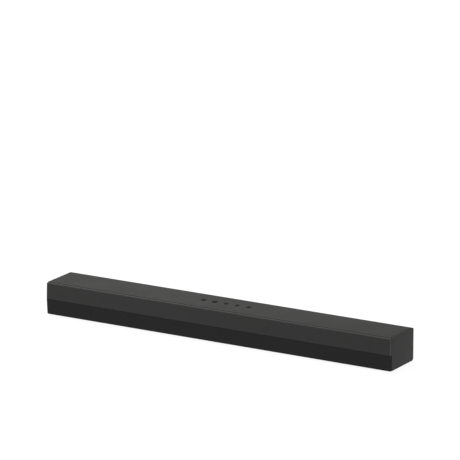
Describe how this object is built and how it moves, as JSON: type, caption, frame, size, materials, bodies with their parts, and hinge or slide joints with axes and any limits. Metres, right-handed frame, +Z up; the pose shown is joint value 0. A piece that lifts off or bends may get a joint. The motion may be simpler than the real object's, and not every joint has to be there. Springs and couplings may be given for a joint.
{
  "type": "soundbar",
  "caption": "Slim box-shaped soundbar with a two-tone cloth front, a row of top keys, drivers behind the cloth and a rear recess for plugs.",
  "frame": {"origin": "on the ground under the middle of the bar, level with the feet's undersides", "axes": "+X along the length, to the right as seen from the front; +Y from the cloth front to the back; +Z up"},
  "size_m": [0.72, 0.087, 0.0638],
  "materials": {
    "casing": "fine matt moulded plastic, charcoal",
    "upper_cloth": "stretched knitted speaker cloth, charcoal",
    "lower_cloth": "stretched knitted speaker cloth, near black",
    "inner_moulding": "matt black moulded plastic",
    "rubber": "matt black rubber",
    "key_plastic": "satin black plastic",
    "steel": "plated sheet steel",
    "brass": "plain turned brass",
    "circuit_board": "green solder mask on glass-fibre board",
    "aluminium": "plain extruded aluminium",
    "cone_paper": "pressed black paper pulp",
    "ferrite": "dull sintered ferrite and plated steel",
    "spider_cloth": "resin-stiffened corrugated cloth",
    "wadding": "soft polyester wadding"
  },
  "bodies": {
    "cabinet": {"top_cover": "casing", "base_shell": "casing", "rear_panel_left": "casing", "rear_panel_right": "casing", "end_cap_left": "casing", "end_cap_right": "casing", "front_baffle": "inner_moulding", "grille_frame": "inner_moulding", "grille_cloth_upper": "upper_cloth", "grille_cloth_lower": "lower_cloth", "foot_front_left": "rubber", "foot_rear_left": "rubber", "foot_front_right": "rubber", "foot_rear_right": "rubber", "wall_insert_left": "brass", "wall_insert_right": "brass", "housing_screw_1": "steel", "housing_screw_2": "steel", "housing_screw_3": "steel", "housing_screw_4": "steel", "chamber_wall_left": "inner_moulding", "chamber_wall_right": "inner_moulding", "switch_power": "key_plastic", "switch_source": "key_plastic", "switch_volume_down": "key_plastic", "switch_volume_up": "key_plastic", "switch_pairing": "key_plastic", "key_board": "circuit_board", "main_board": "circuit_board", "heat_sink": "aluminium", "wireless_module": "steel", "status_board": "circuit_board", "remote_receiver": "key_plastic", "connector_tray": "casing", "optical_socket": "key_plastic", "usb_socket": "steel", "hdmi_socket": "steel", "dc_inlet": "key_plastic", "woofer_frame_left": "inner_moulding", "woofer_magnet_left": "ferrite", "woofer_surround_left": "rubber", "woofer_spider_left": "spider_cloth", "tweeter_housing_left": "inner_moulding", "damping_pad_left": "wadding", "woofer_frame_right": "inner_moulding", "woofer_magnet_right": "ferrite", "woofer_surround_right": "rubber", "woofer_spider_right": "spider_cloth", "tweeter_housing_right": "inner_moulding", "damping_pad_right": "wadding"},
    "key_power": {"key_power": "key_plastic"},
    "key_source": {"key_source": "key_plastic"},
    "key_volume_down": {"key_volume_down": "key_plastic"},
    "key_volume_up": {"key_volume_up": "key_plastic"},
    "key_pairing": {"key_pairing": "key_plastic"},
    "woofer_cone_left": {"woofer_cone_left": "cone_paper"},
    "woofer_cone_right": {"woofer_cone_right": "cone_paper"},
    "tweeter_dome_left": {"tweeter_dome_left": "cone_paper"},
    "tweeter_dome_right": {"tweeter_dome_right": "cone_paper"}
  },
  "joints": [
    {"name": "key_power_press", "type": "slide", "parent": "cabinet", "child": "key_power", "axis": [0, 0, -1], "range_m": [0, 0.0006], "stiffness_N_per_m": 400},
    {"name": "key_source_press", "type": "slide", "parent": "cabinet", "child": "key_source", "axis": [0, 0, -1], "range_m": [0, 0.0006], "stiffness_N_per_m": 400},
    {"name": "key_volume_down_press", "type": "slide", "parent": "cabinet", "child": "key_volume_down", "axis": [0, 0, -1], "range_m": [0, 0.0006], "stiffness_N_per_m": 400},
    {"name": "key_volume_up_press", "type": "slide", "parent": "cabinet", "child": "key_volume_up", "axis": [0, 0, -1], "range_m": [0, 0.0006], "stiffness_N_per_m": 400},
    {"name": "key_pairing_press", "type": "slide", "parent": "cabinet", "child": "key_pairing", "axis": [0, 0, -1], "range_m": [0, 0.0006], "stiffness_N_per_m": 400},
    {"name": "woofer_cone_left_stroke", "type": "slide", "parent": "cabinet", "child": "woofer_cone_left", "axis": [0, -1, 0], "range_m": [-0.002, 0.002], "stiffness_N_per_m": 1500, "deforming": ["woofer_surround_left", "woofer_spider_left"]},
    {"name": "woofer_cone_right_stroke", "type": "slide", "parent": "cabinet", "child": "woofer_cone_right", "axis": [0, -1, 0], "range_m": [-0.002, 0.002], "stiffness_N_per_m": 1500, "deforming": ["woofer_surround_right", "woofer_spider_right"]},
    {"name": "tweeter_dome_left_stroke", "type": "slide", "parent": "cabinet", "child": "tweeter_dome_left", "axis": [0, -1, 0], "range_m": [-0.0003, 0.0003], "stiffness_N_per_m": 1500},
    {"name": "tweeter_dome_right_stroke", "type": "slide", "parent": "cabinet", "child": "tweeter_dome_right", "axis": [0, -1, 0], "range_m": [-0.0003, 0.0003], "stiffness_N_per_m": 1500}
  ]
}
